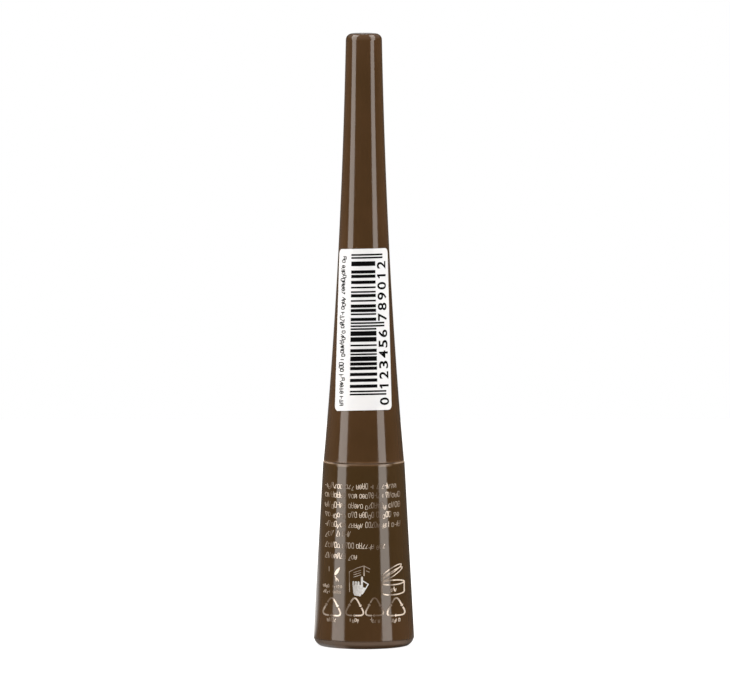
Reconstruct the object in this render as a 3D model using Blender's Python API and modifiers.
# Liquid eyeliner bottle, standing upright on its base, +Z up, origin at the centre of the base.
# A flared bottle holds a threaded vial with a wiper in its neck. The tall trumpet-shaped cap is
# the handle of the applicator: a threaded insert carries the stem, and the stem carries the brush.
# Everything is turned about the Z axis, apart from ribs, gussets, bristles and the label.

import math

import bmesh
import bpy
from mathutils import Matrix, Vector

MM = 0.001

# Driving dimensions of the outside
OVERALL_HEIGHT = 109.5 * MM
SEAM_HEIGHT = 33.1 * MM
SEAM_GAP = 0.1 * MM
BASE_RADIUS = 9.0 * MM
SHOULDER_RADIUS = 7.26 * MM
CAP_MOUTH_RADIUS = 7.19 * MM
CAP_TOP_RADIUS = 3.2 * MM

# Clearances: round pieces pressed into each other, and faces that rest on each other
FIT_GAP = 0.1 * MM
SEAT_GAP = 0.1 * MM

# How finely round things are cut into facets
SHELL_SEGMENTS = 48
NECK_SEGMENTS = 40
STEM_SEGMENTS = 20
FILLET_STEPS = 3
CURVE_STEPS = 11
CAVITY_STEPS = 5
SHARP_ANGLE = math.radians(35)
AXIS_MERGE = 0.001 * MM

BOTTLE_TOP = SEAM_HEIGHT - SEAM_GAP / 2
CAP_BOTTOM = SEAM_HEIGHT + SEAM_GAP / 2
CAP_LENGTH = OVERALL_HEIGHT - CAP_BOTTOM


# Clearing the scene, and the two collections

for leftover in list(bpy.data.objects):
    bpy.data.objects.remove(leftover)

pieces = bpy.data.collections.new("liquid_eyeliner_bottle")
helpers = bpy.data.collections.new("rib_solids")
bpy.context.scene.collection.children.link(pieces)
bpy.context.scene.collection.children.link(helpers)


# Shared ways of making things

def finish(name, colour, roughness, metallic=0.0):
    """A plain material: linear colour, roughness and metallic value."""
    material = bpy.data.materials.new(name)
    material.use_nodes = True
    shader = material.node_tree.nodes["Principled BSDF"]
    shader.inputs["Base Color"].default_value = (*colour, 1.0)
    shader.inputs["Roughness"].default_value = roughness
    shader.inputs["Metallic"].default_value = metallic
    return material


def softened(outline):
    """Turns (radius, height, fillet) corners into (radius, height) points, with an arc at each fillet."""
    points = []
    for index, (radius, height, fillet) in enumerate(outline):
        corner = Vector((radius, height))
        if fillet == 0:
            points.append(corner)
            continue
        before = Vector(outline[index - 1][:2]) - corner
        after = Vector(outline[(index + 1) % len(outline)][:2]) - corner
        half = before.angle(after) / 2
        reach = min(fillet / math.tan(half), before.length / 2, after.length / 2)
        fillet = reach * math.tan(half)
        middle = (before.normalized() + after.normalized()).normalized()
        centre = corner + middle * fillet / math.sin(half)
        start = corner + before.normalized() * reach - centre
        end = corner + after.normalized() * reach - centre
        turn = math.atan2(start.cross(end), start.dot(end))
        for step in range(FILLET_STEPS + 1):
            points.append(centre + Matrix.Rotation(turn * step / FILLET_STEPS, 2) @ start)
    return points


def turned(name, outline, material, segments, is_ring):
    """A piece turned about Z. A ring's outline is a loop; any other starts and ends on the axis."""
    points = softened(outline)
    edges = [(index, index + 1) for index in range(len(points) - 1)]
    if is_ring:
        edges.append((len(points) - 1, 0))
    mesh = bpy.data.meshes.new(name)
    mesh.from_pydata([(radius, 0, height) for radius, height in points], edges, [])
    piece = bpy.data.objects.new(name, mesh)
    pieces.objects.link(piece)
    mesh.materials.append(material)
    screw = piece.modifiers.new("turn", "SCREW")
    screw.steps = screw.render_steps = segments
    screw.use_merge_vertices = True
    screw.merge_threshold = AXIS_MERGE
    return piece


def fins(name, count, width, low, high, inner, outer):
    """A ring of upright fins, each from inner to outer radius; both radii are (at low, at high)."""
    mesh = bpy.data.meshes.new(name)
    shape = bmesh.new()
    for index in range(count):
        made = bmesh.ops.create_cube(shape, size=1)["verts"]
        for vert in made:
            is_high = vert.co.z > 0
            radii = outer if vert.co.x > 0 else inner
            vert.co = Vector((radii[is_high], vert.co.y * width, high if is_high else low))
        spin = Matrix.Rotation(math.tau * index / count, 3, "Z")
        bmesh.ops.rotate(shape, verts=made, matrix=spin)
    shape.to_mesh(mesh)
    shape.free()
    solid = bpy.data.objects.new(name, mesh)
    solid.hide_render = True
    solid.display_type = "WIRE"
    helpers.objects.link(solid)
    return solid


def fuse(piece, solid):
    """Joins a ring of fins to a piece, so that the two are one moulding."""
    union = piece.modifiers.new("join_" + solid.name, "BOOLEAN")
    union.operation = "UNION"
    union.object = solid


def smooth(piece):
    """Fixes the modifiers' result as the piece's mesh, shaded smooth between its sharp edges."""
    graph = bpy.context.evaluated_depsgraph_get()
    mesh = bpy.data.meshes.new_from_object(piece.evaluated_get(graph))
    piece.modifiers.clear()
    piece.data = mesh
    mesh.name = piece.name
    mesh.shade_smooth()
    mesh.set_sharp_from_angle(angle=SHARP_ANGLE)


# Finishes. The two shells and the base are the same glossy brown plastic.

brown_gloss = finish("brown_gloss", (0.062, 0.031, 0.0135), 0.12)
natural_plastic = finish("natural_plastic", (0.78, 0.77, 0.72), 0.38)
soft_plastic = finish("soft_plastic", (0.85, 0.85, 0.82), 0.5)
foam = finish("foam", (0.82, 0.82, 0.8), 0.85)
black_plastic = finish("black_plastic", (0.012, 0.011, 0.011), 0.3)
bright_metal = finish("bright_metal", (0.62, 0.6, 0.57), 0.22, metallic=1.0)
dark_nylon = finish("dark_nylon", (0.02, 0.011, 0.006), 0.35)
white_film = finish("white_film", (0.86, 0.86, 0.86), 0.35)


# Shape of the cap's outside: its radius at a height above its mouth.
# The flares are how much the radius grows for each unit of height going down.

CAP_MOUTH_FLARE = 0.09
CAP_TOP_FLARE = 0.0206


def cap_radius(height):
    along = height / CAP_LENGTH
    ends = CAP_MOUTH_RADIUS + (CAP_TOP_RADIUS - CAP_MOUTH_RADIUS) * along * along * (3 - 2 * along)
    bow = CAP_MOUTH_FLARE * along * (1 - along) ** 2 - CAP_TOP_FLARE * along ** 2 * (1 - along)
    return ends - bow * CAP_LENGTH


# Cap shell: one tall moulding, open at the mouth, with stop ribs that the insert is pressed up to

CAP_WALL = 1.0 * MM
CAP_CROWN = 1.6 * MM
CAP_TOP_FILLET = 1.15 * MM
CAP_MOUTH_FILLET = 0.15 * MM
CAVITY_FILLET = 0.8 * MM
STOP_RIBS = 6
STOP_RIB_WIDTH = 0.8 * MM
STOP_RIB_DEPTH = 1.2 * MM
STOP_RIB_LENGTH = 14.0 * MM


def cavity_radius(height):
    return cap_radius(height) - CAP_WALL


# Heights of what stacks up on the neck's rim, and the radii from the cap's cavity inwards

NECK_HEIGHT = 9.45 * MM
WIPER_FLANGE = 0.7 * MM
WASHER_THICKNESS = 0.8 * MM
INSERT_ROOF = 1.2 * MM
INSERT_WALL = 0.5 * MM
INSERT_RIB_HEIGHT = 0.2 * MM
THREAD_ROOM = 0.65 * MM
NECK_WALL = 0.85 * MM
WIPER_WALL = 0.5 * MM

NECK_RIM = BOTTLE_TOP + NECK_HEIGHT
FLANGE_BOTTOM = NECK_RIM + SEAT_GAP
WASHER_BOTTOM = FLANGE_BOTTOM + WIPER_FLANGE + SEAT_GAP
ROOF_BOTTOM = WASHER_BOTTOM + WASHER_THICKNESS + SEAT_GAP
INSERT_TOP = ROOF_BOTTOM + INSERT_ROOF

INSERT_TOP_RADIUS = cavity_radius(INSERT_TOP - CAP_BOTTOM) - FIT_GAP - INSERT_RIB_HEIGHT
INSERT_BORE = INSERT_TOP_RADIUS - INSERT_WALL
NECK_RADIUS = INSERT_BORE - THREAD_ROOM
NECK_BORE = NECK_RADIUS - NECK_WALL
WIPER_RADIUS = NECK_BORE - FIT_GAP
WIPER_BORE = WIPER_RADIUS - WIPER_WALL


def make_cap_shell():
    crown = CAP_LENGTH - CAP_CROWN
    stops = INSERT_TOP - CAP_BOTTOM + SEAT_GAP
    curve_top = CAP_LENGTH - 2 * CAP_TOP_FILLET
    outline = [(0, CAP_LENGTH, 0), (cap_radius(CAP_LENGTH), CAP_LENGTH, CAP_TOP_FILLET)]
    for step in range(CURVE_STEPS):
        height = curve_top * (1 - step / CURVE_STEPS)
        outline.append((cap_radius(height), height, 0))
    outline.append((CAP_MOUTH_RADIUS, 0, CAP_MOUTH_FILLET))
    outline.append((cavity_radius(0), 0, CAP_MOUTH_FILLET))
    for step in range(CAVITY_STEPS):
        height = stops + (crown - CAVITY_FILLET - stops) * step / CAVITY_STEPS
        outline.append((cavity_radius(height), height, 0))
    outline.append((cavity_radius(crown), crown, CAVITY_FILLET))
    outline.append((0, crown, 0))
    shell = turned("cap_shell", outline, brown_gloss, SHELL_SEGMENTS, is_ring=False)

    ends = (stops, stops + STOP_RIB_LENGTH)
    inner = [cavity_radius(height) - STOP_RIB_DEPTH for height in ends]
    outer = [cavity_radius(height) + CAP_WALL / 2 for height in ends]
    fuse(shell, fins("stop_ribs", STOP_RIBS, STOP_RIB_WIDTH, *ends, inner, outer))
    return shell


# Cap insert: the threaded cup pressed into the cap's mouth, with a flange at its foot.
# Its wall is straight, so the crush ribs that grip the flared shell are deepest at the flange.

INSERT_RECESS = 0.5 * MM
INSERT_FLANGE = 0.9 * MM
INSERT_FILLET = 0.25 * MM
INSERT_LEAD_IN = 0.4 * MM
CRUSH_RIBS = 12
CRUSH_RIB_WIDTH = 0.7 * MM
CRUSH_RIB_INSET = 1.0 * MM

STEM_ROOT_RADIUS = 1.75 * MM


def insert_radius(height):
    """The insert's outside, below the ribs' crests, at a height above the cap's mouth."""
    return cavity_radius(height) - FIT_GAP - INSERT_RIB_HEIGHT


def make_cap_insert():
    top = INSERT_TOP - CAP_BOTTOM
    roof = ROOF_BOTTOM - CAP_BOTTOM
    low = INSERT_RECESS
    flange = low + INSERT_FLANGE
    hole = STEM_ROOT_RADIUS + FIT_GAP
    outline = [
        (hole, top, 0),
        (INSERT_TOP_RADIUS, top, INSERT_FILLET),
        (INSERT_TOP_RADIUS, flange, INSERT_FILLET),
        (insert_radius(flange), flange, 0),
        (insert_radius(low), low, INSERT_FILLET),
        (INSERT_BORE + INSERT_LEAD_IN, low, 0),
        (INSERT_BORE, low + INSERT_LEAD_IN, 0),
        (INSERT_BORE, roof, INSERT_FILLET),
        (hole, roof, 0),
    ]
    insert = turned("cap_insert", outline, natural_plastic, NECK_SEGMENTS, is_ring=True)

    ends = (flange - INSERT_FLANGE / 2, top - CRUSH_RIB_INSET)
    inner = (INSERT_TOP_RADIUS - INSERT_WALL / 2,) * 2
    outer = [insert_radius(height) + INSERT_RIB_HEIGHT for height in ends]
    fuse(insert, fins("crush_ribs", CRUSH_RIBS, CRUSH_RIB_WIDTH, *ends, inner, outer))
    return insert


# Seal washer: a loose ring of foam between the insert's roof and the wiper's flange

WASHER_HOLE_PLAY = 0.45 * MM
WASHER_EDGE_PLAY = 0.2 * MM


def make_seal_washer():
    hole = STEM_ROOT_RADIUS + WASHER_HOLE_PLAY
    edge = INSERT_BORE - WASHER_EDGE_PLAY
    outline = [(edge, WASHER_THICKNESS, 0), (edge, 0, 0), (hole, 0, 0), (hole, WASHER_THICKNESS, 0)]
    return turned("seal_washer", outline, foam, NECK_SEGMENTS, is_ring=True)


# Applicator stem: its head is trapped over the insert's roof, and its far end holds the tuft

STEM_RADIUS = 1.25 * MM
STEM_HEAD_RADIUS = 2.7 * MM
STEM_HEAD = 1.0 * MM
STEM_HEAD_FILLET = 0.3 * MM
STEM_ROOT_BELOW_ROOF = 1.6 * MM
STEM_ROOT_TAPER = 1.4 * MM
STEM_BEAD_HEIGHT = 0.2 * MM
STEM_BEAD_LENGTH = 0.5 * MM
STEM_END_TAPER = 4.0 * MM
TIP_WALL = 0.25 * MM
TIP_FILLET = 0.08 * MM

# The tuft, and the metal ferrule crimped over the stem's end
TUFT_RADIUS = 0.62 * MM
TUFT_LENGTH = 7.2 * MM
TUFT_BACKING = 2.4 * MM
TIP_CLEARANCE = 4.8 * MM
FERRULE_LENGTH = 3.0 * MM
FERRULE_WALL = 0.15 * MM
FERRULE_LIP = 0.12 * MM

# Base: the disc that closes the bottle shell from below, and carries the vial. Its edge shows as a
# rounded band below the crease.
BASE_CREASE = 1.4 * MM
FOOT_INSET = 1.0 * MM
FOOT_RECESS = 0.5 * MM
BASE_FLOOR = 1.0 * MM
VIAL_SUPPORT = 0.7 * MM
VIAL_FLOOR = 0.9 * MM

VIAL_BOTTOM = FOOT_RECESS + BASE_FLOOR + VIAL_SUPPORT + SEAT_GAP
VIAL_INSIDE_BOTTOM = VIAL_BOTTOM + VIAL_FLOOR
TUFT_TIP = VIAL_INSIDE_BOTTOM + TIP_CLEARANCE
STEM_END = TUFT_TIP + TUFT_LENGTH
STEM_TOP = INSERT_TOP + SEAT_GAP + STEM_HEAD

TIP_BORE = TUFT_RADIUS + FIT_GAP
TIP_RADIUS = TIP_BORE + TIP_WALL


def make_stem():
    """Heights are measured up from the stem's end."""
    top = STEM_TOP - STEM_END
    head = top - STEM_HEAD
    roof = ROOF_BOTTOM - STEM_END
    bead_top = roof - SEAT_GAP
    bead_low = bead_top - STEM_BEAD_LENGTH
    bead = STEM_ROOT_RADIUS + STEM_BEAD_HEIGHT
    root = roof - STEM_ROOT_BELOW_ROOF
    sleeve = FERRULE_LENGTH + SEAT_GAP
    socket = TUFT_BACKING + SEAT_GAP
    outline = [
        (0, top, 0),
        (STEM_HEAD_RADIUS, top, STEM_HEAD_FILLET),
        (STEM_HEAD_RADIUS, head, 0),
        (STEM_ROOT_RADIUS, head, 0),
        (STEM_ROOT_RADIUS, bead_top, 0),
        (bead, (bead_top + bead_low) / 2, 0),
        (STEM_ROOT_RADIUS, bead_low, 0),
        (STEM_ROOT_RADIUS, root, 0),
        (STEM_RADIUS, root - STEM_ROOT_TAPER, 0),
        (STEM_RADIUS, sleeve + STEM_END_TAPER, 0),
        (TIP_RADIUS + FIT_GAP + FERRULE_WALL, sleeve, 0),
        (TIP_RADIUS, sleeve, 0),
        (TIP_RADIUS, 0, TIP_FILLET),
        (TIP_BORE, 0, 0),
        (TIP_BORE, socket, 0),
        (0, socket, 0),
    ]
    return turned("applicator_stem", outline, black_plastic, STEM_SEGMENTS, is_ring=False)


def make_ferrule():
    """Thin sleeve over the stem's end, with its lower edge crimped in under it."""
    inner = TIP_RADIUS + FIT_GAP
    outer = inner + FERRULE_WALL
    lip_top = -SEAT_GAP
    lip_low = lip_top - FERRULE_WALL
    throat = TIP_RADIUS - FERRULE_LIP
    outline = [
        (outer, FERRULE_LENGTH, 0),
        (outer, lip_low, FERRULE_WALL),
        (throat, lip_low, 0),
        (throat, lip_top, 0),
        (inner, lip_top, 0),
        (inner, FERRULE_LENGTH, 0),
    ]
    return turned("brush_ferrule", outline, bright_metal, STEM_SEGMENTS, is_ring=True)


# Brush tuft: every triangle of a round lattice is drawn out into one three-sided bristle.
# Bristles narrow and close in on the axis together, so none can cross another.

TUFT_SIDES = 6
TUFT_RINGS = 8
TUFT_BELLY_SHARE = 0.55
BRISTLE_BELLY_SHARE = 0.5
TUFT_BELLY_CLOSING = 0.8
TUFT_TIP_CLOSING = 0.25
SHORTEST_BRISTLE_SHARE = 0.86


def lattice_triangles(shape):
    """A round disc of TUFT_RINGS rings, each split into triangles; ring 0 is the centre."""
    turn = math.tau / TUFT_SIDES
    rings = [[shape.verts.new((0, 0, 0))]]
    for ring in range(1, TUFT_RINGS + 1):
        radius = TUFT_RADIUS * ring / TUFT_RINGS
        rings.append([
            shape.verts.new(Matrix.Rotation(turn * index / ring, 3, "Z") @ Vector((radius, 0, 0)))
            for index in range(TUFT_SIDES * ring)
        ])
    triangles = []
    for ring in range(1, TUFT_RINGS + 1):
        outer, inner = rings[ring], rings[ring - 1]
        for side in range(TUFT_SIDES):
            for step in range(ring):
                first = outer[side * ring + step]
                second = outer[(side * ring + step + 1) % len(outer)]
                below = inner[(side * (ring - 1) + step) % len(inner)]
                triangles.append((first, second, below))
                if step < ring - 1:
                    beyond = inner[(side * (ring - 1) + step + 1) % len(inner)]
                    triangles.append((second, beyond, below))
    return rings[-1], triangles


def make_tuft():
    """Heights run down from the stem's end; the backing stands up inside the stem's bore."""
    mesh = bpy.data.meshes.new("brush_tuft")
    shape = bmesh.new()
    rim, triangles = lattice_triangles(shape)
    for corners in triangles:
        middle = sum((corner.co for corner in corners), Vector()) / 3
        length = TUFT_LENGTH * (1 - (1 - SHORTEST_BRISTLE_SHARE) * middle.length / TUFT_RADIUS)
        belly = middle * TUFT_BELLY_CLOSING - Vector((0, 0, length * TUFT_BELLY_SHARE))
        tip = shape.verts.new(middle * TUFT_TIP_CLOSING - Vector((0, 0, length)))
        waist = [
            shape.verts.new(belly + (corner.co - middle) * BRISTLE_BELLY_SHARE) for corner in corners
        ]
        for index in range(3):
            following = (index + 1) % 3
            shape.faces.new((corners[index], corners[following], waist[following], waist[index]))
            shape.faces.new((waist[index], waist[following], tip))
    top = [shape.verts.new(vert.co + Vector((0, 0, TUFT_BACKING))) for vert in rim]
    for index in range(len(rim)):
        following = (index + 1) % len(rim)
        shape.faces.new((rim[following], rim[index], top[index], top[following]))
    shape.faces.new(top)
    bmesh.ops.recalc_face_normals(shape, faces=shape.faces)
    shape.to_mesh(mesh)
    shape.free()
    mesh.materials.append(dark_nylon)
    tuft = bpy.data.objects.new("brush_tuft", mesh)
    pieces.objects.link(tuft)
    return tuft


# Bottle shell: the outer cone below the seam, open below, with a shoulder web round the neck.
# A groove inside its lower edge holds the base plug's snap bead.

BOTTLE_WALL = 1.1 * MM
SNAP_ABOVE_CREASE = 1.3 * MM
SNAP_LENGTH = 0.9 * MM
SNAP_DEPTH = 0.2 * MM
SHOULDER_WEB = 1.2 * MM
SHOULDER_FILLET = 0.25 * MM
COLLAR_STEP = 0.55 * MM
SHELL_BOTTOM = BASE_CREASE + SEAT_GAP
COLLAR_RADIUS = NECK_RADIUS + COLLAR_STEP


def bottle_radius(height):
    """The bottle's outside, a straight cone from its widest circle up to its shoulder."""
    along = (height - BASE_CREASE) / (BOTTLE_TOP - BASE_CREASE)
    return BASE_RADIUS + (SHOULDER_RADIUS - BASE_RADIUS) * along


def bottle_inside(height):
    return bottle_radius(height) - BOTTLE_WALL


def snap_ring(gap):
    """(radius, height) of the snap's lower edge, crest and upper edge, inside the shell by a gap."""
    crest = BASE_CREASE + SNAP_ABOVE_CREASE
    heights = (crest - SNAP_LENGTH / 2, crest, crest + SNAP_LENGTH / 2)
    depths = (0, SNAP_DEPTH, 0)
    return [(bottle_inside(height) - gap + depth, height) for height, depth in zip(heights, depths)]


def make_bottle_shell():
    top = BOTTLE_TOP - SHELL_BOTTOM
    web = top - SHOULDER_WEB
    hole = COLLAR_RADIUS + FIT_GAP
    outline = [
        (hole, top, 0),
        (SHOULDER_RADIUS, top, SHOULDER_FILLET),
        (bottle_radius(SHELL_BOTTOM), 0, 0),
        (bottle_inside(SHELL_BOTTOM), 0, 0),
        *[(radius, height - SHELL_BOTTOM, 0) for radius, height in snap_ring(0)],
        (bottle_inside(web + SHELL_BOTTOM), web, SHOULDER_FILLET),
        (hole, web, 0),
    ]
    return turned("bottle_shell", outline, brown_gloss, SHELL_SEGMENTS, is_ring=True)


# Base plug: rounded foot, a spigot snapped into the shell, and a gusseted ring under the vial

BAND_BELLY_INSET = 0.35 * MM
BAND_BELLY_HEIGHT = 0.6 * MM
BAND_BELLY_FILLET = 1.0 * MM
FOOT_EDGE_FILLET = 0.6 * MM
FOOT_RING_WIDTH = 1.9 * MM
SPIGOT_HEIGHT = 2.6 * MM
SPIGOT_WALL = 0.7 * MM
SPIGOT_LEAD_IN = 0.3 * MM
SUPPORT_RADIUS = 4.9 * MM
SUPPORT_WIDTH = 0.8 * MM
GUSSETS = 6
GUSSET_WIDTH = 0.7 * MM
GUSSET_DROP = 0.2 * MM


def make_base_plug():
    floor = FOOT_RECESS + BASE_FLOOR
    support = floor + VIAL_SUPPORT
    spigot_top = BASE_CREASE + SPIGOT_HEIGHT
    spigot_low_radius = bottle_inside(SHELL_BOTTOM) - FIT_GAP
    spigot_top_radius = bottle_inside(spigot_top) - FIT_GAP
    foot = BASE_RADIUS - FOOT_INSET
    outline = [
        (0, floor, 0),
        (SUPPORT_RADIUS - SUPPORT_WIDTH, floor, 0),
        (SUPPORT_RADIUS - SUPPORT_WIDTH, support, 0),
        (SUPPORT_RADIUS, support, 0),
        (SUPPORT_RADIUS, floor, 0),
        (spigot_top_radius - SPIGOT_WALL, floor, 0),
        (spigot_top_radius - SPIGOT_WALL, spigot_top, 0),
        (spigot_top_radius - SPIGOT_LEAD_IN, spigot_top, 0),
        (spigot_top_radius, spigot_top - SPIGOT_LEAD_IN, 0),
        *[(radius, height, 0) for radius, height in reversed(snap_ring(FIT_GAP))],
        (spigot_low_radius, BASE_CREASE, 0),
        (BASE_RADIUS, BASE_CREASE, 0),
        (BASE_RADIUS - BAND_BELLY_INSET, BAND_BELLY_HEIGHT, BAND_BELLY_FILLET),
        (foot, 0, FOOT_EDGE_FILLET),
        (foot - FOOT_RING_WIDTH, 0, 0),
        (foot - FOOT_RING_WIDTH - FOOT_RECESS, FOOT_RECESS, 0),
        (0, FOOT_RECESS, 0),
    ]
    plug = turned("base_plug", outline, brown_gloss, SHELL_SEGMENTS, is_ring=False)

    ends = (floor - BASE_FLOOR / 2, support - GUSSET_DROP)
    inner = (SUPPORT_RADIUS - SUPPORT_WIDTH / 2,) * 2
    outer = (spigot_top_radius - SPIGOT_WALL / 2,) * 2
    fuse(plug, fins("gussets", GUSSETS, GUSSET_WIDTH, *ends, inner, outer))
    return plug


# Vial: the threaded container, stood on the base plug's ring, its collar held in the shoulder web.
# The thread itself is left to the rendered model: the neck here is the core that carries it.

VIAL_WALL = 0.8 * MM
VIAL_PLAY = 0.35 * MM
VIAL_FOOT_FILLET = 1.4 * MM
VIAL_SHOULDER_FILLET = 1.2 * MM
VIAL_PUSH_UP = 0.3 * MM
VIAL_PUSH_UP_RADIUS = 3.4 * MM
VIAL_THROAT_SLOPE = 1.6 * MM
COLLAR_HEIGHT = 1.0 * MM
RIM_FILLET = 0.2 * MM


def make_vial():
    """Heights are measured up from the vial's foot."""
    rim = NECK_RIM - VIAL_BOTTOM
    shoulder = BOTTLE_TOP - SHOULDER_WEB - SEAT_GAP - VIAL_BOTTOM
    collar = shoulder + COLLAR_HEIGHT
    spigot_top = BASE_CREASE + SPIGOT_HEIGHT
    foot_radius = bottle_inside(spigot_top) - FIT_GAP - SPIGOT_WALL - VIAL_PLAY
    shoulder_radius = bottle_inside(shoulder + VIAL_BOTTOM) - VIAL_PLAY
    outline = [
        (0, VIAL_FLOOR + VIAL_PUSH_UP, 0),
        (VIAL_PUSH_UP_RADIUS, VIAL_FLOOR, 0),
        (foot_radius - VIAL_WALL, VIAL_FLOOR, VIAL_FOOT_FILLET - VIAL_WALL),
        (shoulder_radius - VIAL_WALL, shoulder - VIAL_WALL - VIAL_THROAT_SLOPE, VIAL_SHOULDER_FILLET),
        (NECK_BORE, shoulder - VIAL_WALL, VIAL_WALL),
        (NECK_BORE, rim, 0),
        (NECK_RADIUS, rim, RIM_FILLET),
        (NECK_RADIUS, collar, 0),
        (COLLAR_RADIUS, collar, 0),
        (COLLAR_RADIUS, shoulder, 0),
        (shoulder_radius, shoulder, VIAL_SHOULDER_FILLET),
        (foot_radius, 0, VIAL_FOOT_FILLET),
        (VIAL_PUSH_UP_RADIUS, 0, 0),
        (0, VIAL_PUSH_UP, 0),
    ]
    return turned("vial", outline, natural_plastic, NECK_SEGMENTS, is_ring=False)


# Wiper: flanged sleeve in the neck, drawn in at its foot to a soft lip that strips the stem

WIPER_LENGTH = 9.6 * MM
WIPER_CONE = 2.0 * MM
WIPER_LIP = 0.5 * MM
WIPER_ORIFICE_PLAY = 0.25 * MM
WIPER_FLANGE_OVERHANG = 0.65 * MM
WIPER_LEAD_IN = 0.35 * MM
WIPER_FLANGE_FILLET = 0.15 * MM


def make_wiper():
    """Heights are measured up from the underside of the flange."""
    orifice = STEM_RADIUS + WIPER_ORIFICE_PLAY
    lip_low = -WIPER_LENGTH
    cone_low = lip_low + WIPER_LIP
    cone_top = cone_low + WIPER_CONE
    flange = WIPER_RADIUS + WIPER_FLANGE_OVERHANG
    outline = [
        (WIPER_BORE + WIPER_LEAD_IN, WIPER_FLANGE, 0),
        (flange, WIPER_FLANGE, WIPER_FLANGE_FILLET),
        (flange, 0, 0),
        (WIPER_RADIUS, 0, 0),
        (WIPER_RADIUS, cone_top, 0),
        (orifice + WIPER_WALL, cone_low, 0),
        (orifice + WIPER_WALL, lip_low, 0),
        (orifice, lip_low, 0),
        (orifice, cone_low, 0),
        (WIPER_BORE, cone_top, 0),
        (WIPER_BORE, WIPER_FLANGE - WIPER_LEAD_IN, 0),
    ]
    return turned("wiper", outline, soft_plastic, NECK_SEGMENTS, is_ring=True)


# Label: a white film sticker with round corners, cut with a slight taper and wrapped on the
# front of the cap. Cut flat and wrapped on a flare, its rows dip towards both sides, and they
# climb to the right.

LABEL_TOP_WIDTH = 10.5 * MM
LABEL_BOTTOM_WIDTH = 11.38 * MM
LABEL_HEIGHT = 28.72 * MM
LABEL_CENTRE = 57.0 * MM
LABEL_SIDE_SHIFT = -0.16 * MM
LABEL_CORNER = 0.85 * MM
LABEL_THICKNESS = 0.1 * MM
LABEL_GAP = 0.03 * MM
LABEL_CLIMB = 0.02
LABEL_COLUMNS = 14
LABEL_ROWS = 12
LABEL_CORNER_ROWS = 3


def label_rows():
    """(height, half width) of each row of the flat label, with the round corners at both ends."""
    straight = LABEL_HEIGHT / 2 - LABEL_CORNER
    corner = []
    for step in range(LABEL_CORNER_ROWS):
        angle = math.pi / 2 * (1 - step / LABEL_CORNER_ROWS)
        corner.append((straight + LABEL_CORNER * math.sin(angle), LABEL_CORNER * (1 - math.cos(angle))))
    middle = [(straight * (1 - 2 * step / LABEL_ROWS), 0) for step in range(LABEL_ROWS + 1)]
    rows = []
    for height, inset in corner + middle + [(-height, inset) for height, inset in reversed(corner)]:
        along = 0.5 + height / LABEL_HEIGHT
        width = LABEL_BOTTOM_WIDTH + (LABEL_TOP_WIDTH - LABEL_BOTTOM_WIDTH) * along
        rows.append((height, width / 2 - inset))
    return rows


def cap_flare(height):
    """How much the cap's radius grows for each unit of height going down, at a height above its mouth."""
    return (cap_radius(height - LABEL_GAP) - cap_radius(height + LABEL_GAP)) / (2 * LABEL_GAP)


def make_label():
    mesh = bpy.data.meshes.new("barcode_label")
    shape = bmesh.new()
    made = bmesh.ops.create_grid(
        shape, x_segments=LABEL_COLUMNS, y_segments=len(label_rows()) - 1, size=1
    )
    rows = label_rows()
    for vert in made["verts"]:
        height, half = rows[round((1 - vert.co.y) / 2 * (len(rows) - 1))]
        across = vert.co.x * half + LABEL_SIDE_SHIFT
        level = LABEL_CENTRE + height + across * LABEL_CLIMB - CAP_BOTTOM
        level -= across ** 2 * cap_flare(level) / (2 * cap_radius(level))
        radius = cap_radius(level) + LABEL_GAP
        angle = across / radius - math.pi / 2
        vert.co = Vector((radius * math.cos(angle), radius * math.sin(angle), level))
    shape.to_mesh(mesh)
    shape.free()
    mesh.materials.append(white_film)
    label = bpy.data.objects.new("barcode_label", mesh)
    pieces.objects.link(label)
    solidify = label.modifiers.new("thickness", "SOLIDIFY")
    solidify.thickness = LABEL_THICKNESS
    solidify.offset = 1
    return label


# Assembly. The washer rises with the cap; the cap and the whole applicator rise and turn with it.

def axis_empty(name, height):
    """An empty on the common axis, which the pieces that move together hang from."""
    empty = bpy.data.objects.new(name, None)
    empty.empty_display_size = CAP_MOUTH_RADIUS
    empty.location.z = height
    pieces.objects.link(empty)
    return empty


def place(piece, height, carrier):
    """Puts a piece with its datum at a height on the axis, and hangs it from its carrier."""
    piece.parent = carrier
    piece.location.z = height - carrier.location.z


bottle_axis = axis_empty("bottle_axis", 0)
lift_axis = axis_empty("lift_axis", CAP_BOTTOM)
turn_axis = axis_empty("turn_axis", CAP_BOTTOM)

seats = [
    (make_base_plug(), 0, bottle_axis),
    (make_bottle_shell(), SHELL_BOTTOM, bottle_axis),
    (make_vial(), VIAL_BOTTOM, bottle_axis),
    (make_wiper(), FLANGE_BOTTOM, bottle_axis),
    (make_seal_washer(), WASHER_BOTTOM, lift_axis),
    (make_cap_shell(), CAP_BOTTOM, turn_axis),
    (make_cap_insert(), CAP_BOTTOM, turn_axis),
    (make_stem(), STEM_END, turn_axis),
    (make_ferrule(), STEM_END, turn_axis),
    (make_tuft(), STEM_END, turn_axis),
    (make_label(), CAP_BOTTOM, turn_axis),
]
for piece, height, carrier in seats:
    smooth(piece)
    place(piece, height, carrier)
